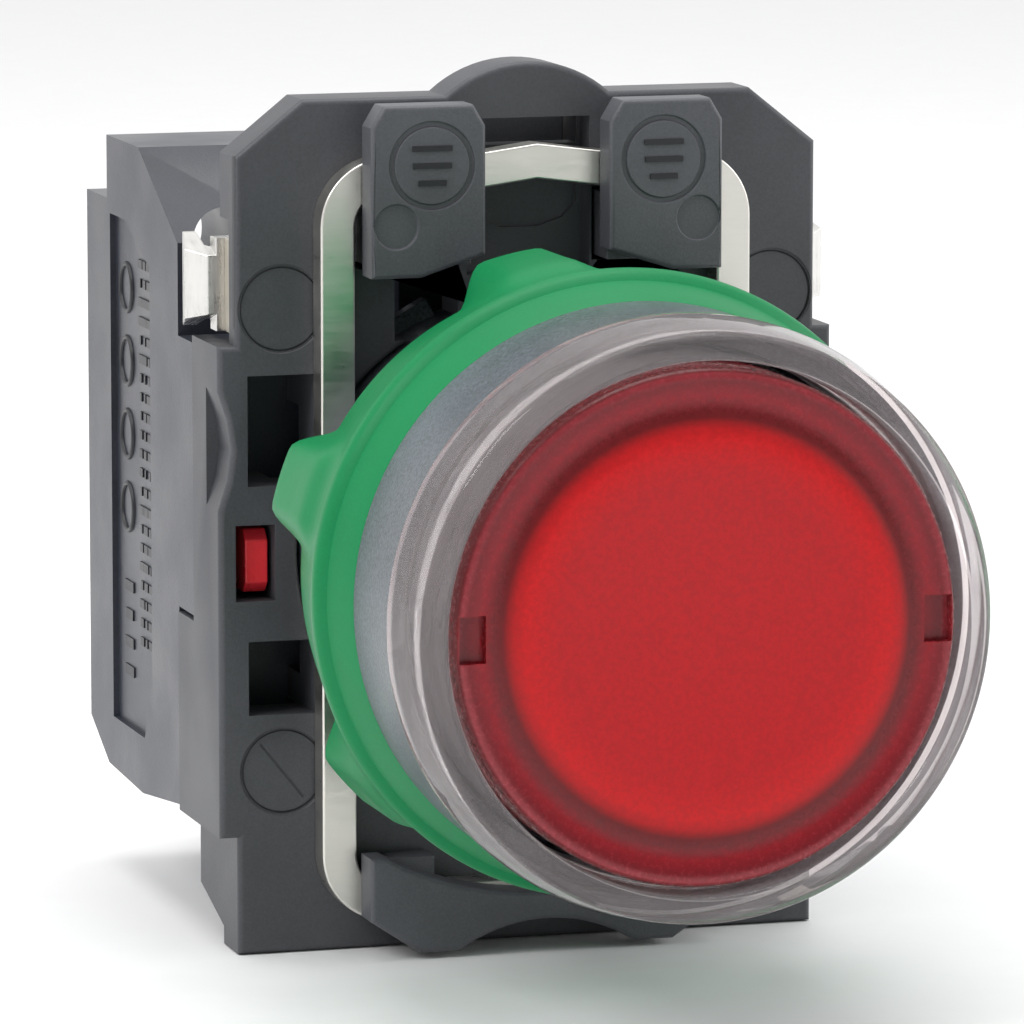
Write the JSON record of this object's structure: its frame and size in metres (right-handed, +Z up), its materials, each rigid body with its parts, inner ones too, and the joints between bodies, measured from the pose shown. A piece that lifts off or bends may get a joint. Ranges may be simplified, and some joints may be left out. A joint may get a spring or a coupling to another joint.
{
  "type": "panel push button",
  "caption": "Round illuminated panel push button: red lens in a clear guard, green gasket, rectangular fixing collar with a metal clamping ribbon, contact and light blocks side by side.",
  "frame": {"origin": "on the button axis in the plane of the gasket's rear face, where the head meets the panel", "axes": "+Y along the barrel into the panel, away from the user; +X to the user's right; +Z up"},
  "size_m": [0.0314, 0.0541, 0.0417],
  "materials": {
    "bezel_grey": "satin textured grey",
    "gasket_green": "satin green",
    "guard_clear": "clear, polished",
    "lens_red": "translucent red, fine matte front",
    "lamp_red": "clear red",
    "diffuser_white": "opal",
    "carrier_white": "satin",
    "bush_black": "satin black",
    "collar_grey": "fine textured dark grey",
    "ribbon_nickel": "nickel plated",
    "plunger_red": "gloss red",
    "plunger_green": "gloss green",
    "block_grey": "satin dark blue-grey",
    "spring_steel": "drawn wire",
    "contact_brass": "bright",
    "screw_nickel": "nickel plated",
    "board_green": "solder mask",
    "resistor_tan": "coated"
  },
  "bodies": {
    "base": {"bezel": "bezel_grey", "panel_gasket": "gasket_green", "guard_ring": "guard_clear", "guide_bush": "bush_black", "retaining_ring": "bush_black", "return_spring": "spring_steel", "fixing_collar": "collar_grey", "clamp_ribbon": "ribbon_nickel", "lower_pad": "collar_grey", "clamp_nut": "contact_brass", "nc_housing": "block_grey", "nc_cover": "block_grey", "nc_spring": "spring_steel", "nc_terminal_upper": "contact_brass", "nc_terminal_lower": "contact_brass", "no_housing": "block_grey", "no_cover": "block_grey", "no_spring": "spring_steel", "no_terminal_upper": "contact_brass", "no_terminal_lower": "contact_brass", "led_housing": "block_grey", "led_cover": "block_grey", "led_board": "board_green", "led_lamp": "lamp_red", "led_resistor": "resistor_tan", "led_terminal_upper": "contact_brass", "led_terminal_lower": "contact_brass"},
    "button": {"lens_cap": "lens_red", "diffuser": "diffuser_white", "lens_carrier": "carrier_white"},
    "nc_mechanism": {"nc_plunger": "plunger_red", "nc_bridge": "contact_brass"},
    "no_mechanism": {"no_plunger": "plunger_green", "no_bridge": "contact_brass"},
    "clamp": {"pressure_bridge": "collar_grey", "pressure_pad_left": "collar_grey", "pressure_pad_right": "collar_grey"},
    "clamp_screw": {"clamp_screw": "screw_nickel"},
    "nc_clamp_upper": {"nc_clamp_upper": "screw_nickel"},
    "nc_screw_upper": {"nc_screw_upper": "screw_nickel"},
    "nc_clamp_lower": {"nc_clamp_lower": "screw_nickel"},
    "nc_screw_lower": {"nc_screw_lower": "screw_nickel"},
    "no_clamp_upper": {"no_clamp_upper": "screw_nickel"},
    "no_screw_upper": {"no_screw_upper": "screw_nickel"},
    "no_clamp_lower": {"no_clamp_lower": "screw_nickel"},
    "no_screw_lower": {"no_screw_lower": "screw_nickel"},
    "led_clamp_upper": {"led_clamp_upper": "screw_nickel"},
    "led_screw_upper": {"led_screw_upper": "screw_nickel"},
    "led_clamp_lower": {"led_clamp_lower": "screw_nickel"},
    "led_screw_lower": {"led_screw_lower": "screw_nickel"}
  },
  "joints": [
    {"name": "button_press", "type": "slide", "parent": "base", "child": "button", "axis": [0, 1, 0], "range_m": [0, 0.004], "stiffness_N_per_m": 700, "springref_m": -0.002, "deforming": ["return_spring"]},
    {"name": "nc_push", "type": "slide", "parent": "base", "child": "nc_mechanism", "axis": [0, 1, 0], "range_m": [0, 0.004], "deforming": ["nc_spring"]},
    {"name": "no_push", "type": "slide", "parent": "base", "child": "no_mechanism", "axis": [0, 1, 0], "range_m": [0, 0.004], "deforming": ["no_spring"]},
    {"name": "clamp_travel", "type": "slide", "parent": "base", "child": "clamp", "axis": [0, -1, 0], "range_m": [0, 0.0012]},
    {"name": "clamp_screw_turn", "type": "hinge", "parent": "clamp", "child": "clamp_screw", "pos_m": [0, 0.013, 0.0176], "axis": [0, -1, 0], "range_deg": [0, 866]},
    {"name": "nc_clamp_upper_lift", "type": "slide", "parent": "base", "child": "nc_clamp_upper", "axis": [0, 1, 0], "range_m": [0, 0.0012]},
    {"name": "nc_screw_upper_turn", "type": "hinge", "parent": "nc_clamp_upper", "child": "nc_screw_upper", "pos_m": [-0.0118, 0.01, 0.0122], "axis": [0, 1, 0], "range_deg": [0, 722]},
    {"name": "nc_clamp_lower_lift", "type": "slide", "parent": "base", "child": "nc_clamp_lower", "axis": [0, 1, 0], "range_m": [0, 0.0012]},
    {"name": "nc_screw_lower_turn", "type": "hinge", "parent": "nc_clamp_lower", "child": "nc_screw_lower", "pos_m": [-0.0118, 0.0155, -0.0095], "axis": [0, 1, 0], "range_deg": [0, 722]},
    {"name": "no_clamp_upper_lift", "type": "slide", "parent": "base", "child": "no_clamp_upper", "axis": [0, 1, 0], "range_m": [0, 0.0012]},
    {"name": "no_screw_upper_turn", "type": "hinge", "parent": "no_clamp_upper", "child": "no_screw_upper", "pos_m": [0.0118, 0.01, 0.0122], "axis": [0, 1, 0], "range_deg": [0, 722]},
    {"name": "no_clamp_lower_lift", "type": "slide", "parent": "base", "child": "no_clamp_lower", "axis": [0, 1, 0], "range_m": [0, 0.0012]},
    {"name": "no_screw_lower_turn", "type": "hinge", "parent": "no_clamp_lower", "child": "no_screw_lower", "pos_m": [0.0118, 0.0155, -0.0095], "axis": [0, 1, 0], "range_deg": [0, 722]},
    {"name": "led_clamp_upper_lift", "type": "slide", "parent": "base", "child": "led_clamp_upper", "axis": [0, 1, 0], "range_m": [0, 0.0012]},
    {"name": "led_screw_upper_turn", "type": "hinge", "parent": "led_clamp_upper", "child": "led_screw_upper", "pos_m": [0, 0.0155, 0.0106], "axis": [0, 1, 0], "range_deg": [0, 722]},
    {"name": "led_clamp_lower_lift", "type": "slide", "parent": "base", "child": "led_clamp_lower", "axis": [0, 1, 0], "range_m": [0, 0.0012]},
    {"name": "led_screw_lower_turn", "type": "hinge", "parent": "led_clamp_lower", "child": "led_screw_lower", "pos_m": [0, 0.0155, -0.0095], "axis": [0, 1, 0], "range_deg": [0, 722]}
  ],
  "couplings": [
    {"joint": "nc_push", "follows": "button_press", "ratio": 1},
    {"joint": "no_push", "follows": "button_press", "ratio": 1},
    {"joint": "clamp_screw_turn", "follows": "clamp_travel", "rad_per_m": 12566},
    {"joint": "nc_screw_upper_turn", "follows": "nc_clamp_upper_lift", "rad_per_m": 10472},
    {"joint": "nc_screw_lower_turn", "follows": "nc_clamp_lower_lift", "rad_per_m": 10472},
    {"joint": "no_screw_upper_turn", "follows": "no_clamp_upper_lift", "rad_per_m": 10472},
    {"joint": "no_screw_lower_turn", "follows": "no_clamp_lower_lift", "rad_per_m": 10472},
    {"joint": "led_screw_upper_turn", "follows": "led_clamp_upper_lift", "rad_per_m": 10472},
    {"joint": "led_screw_lower_turn", "follows": "led_clamp_lower_lift", "rad_per_m": 10472}
  ]
}
